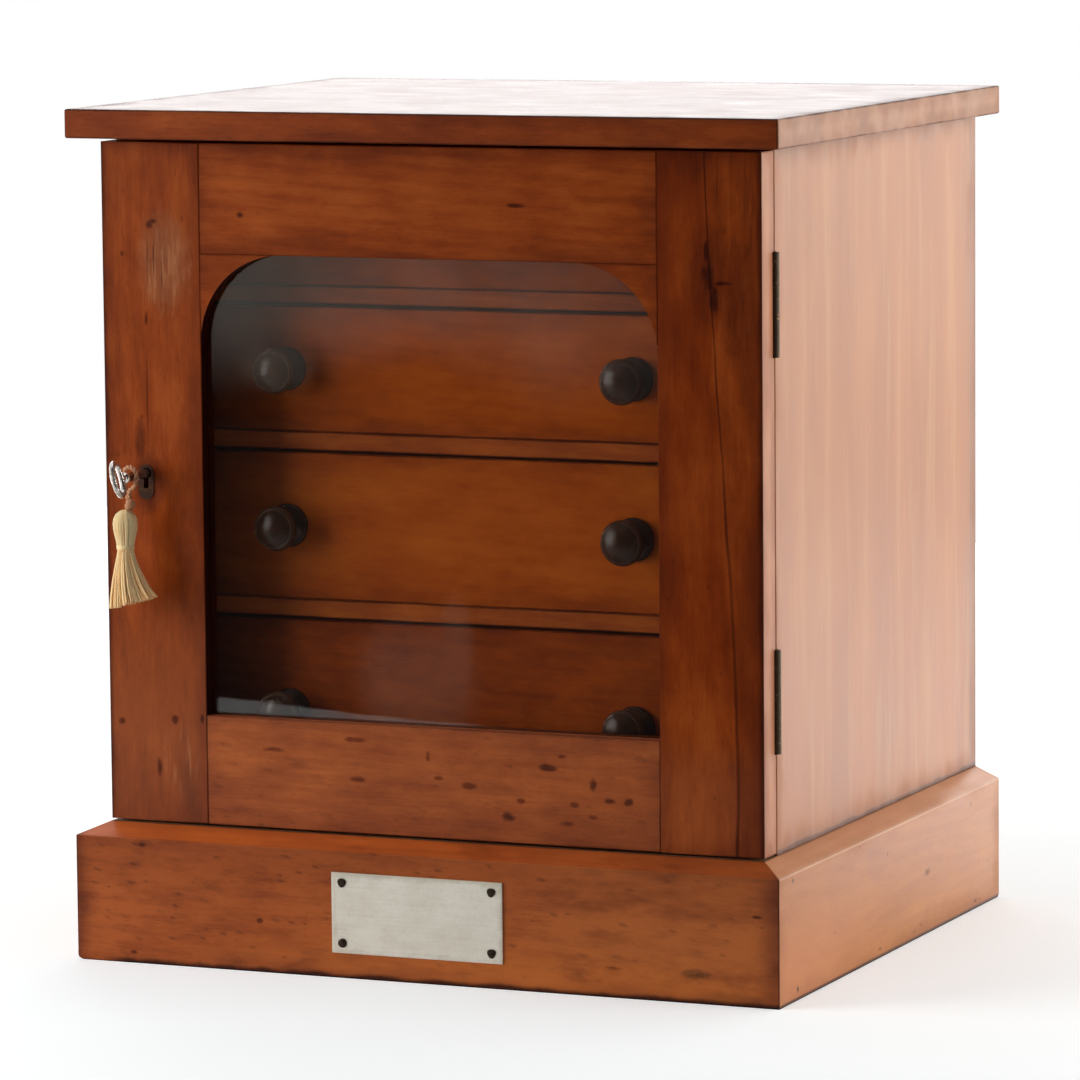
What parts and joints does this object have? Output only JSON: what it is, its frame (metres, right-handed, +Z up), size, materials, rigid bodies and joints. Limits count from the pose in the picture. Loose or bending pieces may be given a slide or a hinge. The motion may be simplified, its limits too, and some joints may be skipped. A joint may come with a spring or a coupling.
{
  "type": "collectors cabinet",
  "caption": "Table-top collector's cabinet of cedar: arched glazed door with lock, key and tassel over graduated drawers with turned knobs, on a bevelled plinth.",
  "frame": {"origin": "middle of the plinth's footprint, on the surface that the cabinet stands on", "axes": "+Z up, the door faces -Y, the hinges are on +X"},
  "size_m": [0.379, 0.3487, 0.428],
  "materials": {
    "cedar": "French-polished red cedar with an aged warm tone",
    "inner_wood": "plain waxed cedar, unpolished",
    "knob_wood": "dark stained turned wood, polished",
    "glass": "clear old sheet glass",
    "hinge_brass": "darkened brass",
    "lock_brass": "dull brass",
    "escutcheon_iron": "dark worn iron",
    "plate_silver": "tarnished silver plate with fine scratches",
    "pin_iron": "blackened domed pins",
    "key_nickel": "worn nickel plate",
    "silk_cord": "brown-gold twisted cord",
    "silk": "cream-gold silk threads"
  },
  "bodies": {
    "cabinet": {"top_board": "cedar", "left_side": "cedar", "right_side": "cedar", "back_panel": "inner_wood", "base_board": "inner_wood", "bottom_rail": "cedar", "lower_rail": "cedar", "middle_rail": "cedar", "upper_rail": "cedar", "top_rail": "cedar", "right_runners": "inner_wood", "left_runners": "inner_wood", "drawer_stops": "inner_wood", "plinth_front": "cedar", "plinth_right": "cedar", "plinth_left": "cedar", "plinth_back": "inner_wood", "plinth_blocks": "inner_wood", "strike_plate": "lock_brass", "strike_screws": "lock_brass", "plaque": "plate_silver", "plaque_pins": "pin_iron", "hinge_fixed_leaves": "hinge_brass", "hinge_pins": "hinge_brass", "hinge_fixed_screws": "hinge_brass"},
    "door": {"lock_stile": "cedar", "hinge_stile": "cedar", "door_top_rail": "cedar", "door_bottom_rail": "cedar", "right_spandrel": "cedar", "left_spandrel": "cedar", "glazing_beads": "cedar", "glass_pane": "glass", "hinge_door_leaves": "hinge_brass", "hinge_door_screws": "hinge_brass", "escutcheon": "escutcheon_iron", "lock_case": "lock_brass", "lock_cap": "lock_brass", "lock_screws": "lock_brass"},
    "lock_bolt": {"lock_bolt": "lock_brass"},
    "key": {"key": "key_nickel"},
    "tassel": {"tassel_loop": "silk_cord", "tassel_head": "silk", "tassel_skirt": "silk"},
    "drawer_1": {"drawer_1_front": "cedar", "drawer_1_sides": "inner_wood", "drawer_1_bottom": "inner_wood", "drawer_1_knobs": "knob_wood"},
    "drawer_2": {"drawer_2_front": "cedar", "drawer_2_sides": "inner_wood", "drawer_2_bottom": "inner_wood", "drawer_2_knobs": "knob_wood"},
    "drawer_3": {"drawer_3_front": "cedar", "drawer_3_sides": "inner_wood", "drawer_3_bottom": "inner_wood", "drawer_3_knobs": "knob_wood"},
    "drawer_4": {"drawer_4_front": "cedar", "drawer_4_sides": "inner_wood", "drawer_4_bottom": "inner_wood", "drawer_4_knobs": "knob_wood"}
  },
  "joints": [
    {"name": "door_swing", "type": "hinge", "parent": "cabinet", "child": "door", "pos_m": [0.1763, -0.13175, 0.2409], "axis": [0, 0, 1], "range_deg": [0, 180]},
    {"name": "key_turn", "type": "hinge", "parent": "door", "child": "key", "pos_m": [-0.1535, -0.1485, 0.24615], "axis": [0, 1, 0], "range_deg": [0, 62]},
    {"name": "lock_bolt_slide", "type": "slide", "parent": "door", "child": "lock_bolt", "axis": [-1, 0, 0], "range_m": [0, 0.006]},
    {"name": "tassel_swing", "type": "hinge", "parent": "key", "child": "tassel", "pos_m": [-0.1535, -0.1665, 0.24615], "axis": [0, 1, 0], "range_deg": [-62, 0]},
    {"name": "drawer_1_slide", "type": "slide", "parent": "cabinet", "child": "drawer_1", "axis": [0, -1, 0], "range_m": [0, 0.138]},
    {"name": "drawer_2_slide", "type": "slide", "parent": "cabinet", "child": "drawer_2", "axis": [0, -1, 0], "range_m": [0, 0.138]},
    {"name": "drawer_3_slide", "type": "slide", "parent": "cabinet", "child": "drawer_3", "axis": [0, -1, 0], "range_m": [0, 0.138]},
    {"name": "drawer_4_slide", "type": "slide", "parent": "cabinet", "child": "drawer_4", "axis": [0, -1, 0], "range_m": [0, 0.138]}
  ],
  "couplings": [
    {"joint": "lock_bolt_slide", "follows": "key_turn", "m_per_rad": 0.005545},
    {"joint": "tassel_swing", "follows": "key_turn", "ratio": -1},
    {"joint": "drawer_1_slide", "follows": "door_swing", "m_per_rad": 0.0439},
    {"joint": "drawer_2_slide", "follows": "door_swing", "m_per_rad": 0.0439},
    {"joint": "drawer_3_slide", "follows": "door_swing", "m_per_rad": 0.0439},
    {"joint": "drawer_4_slide", "follows": "door_swing", "m_per_rad": 0.0439}
  ]
}
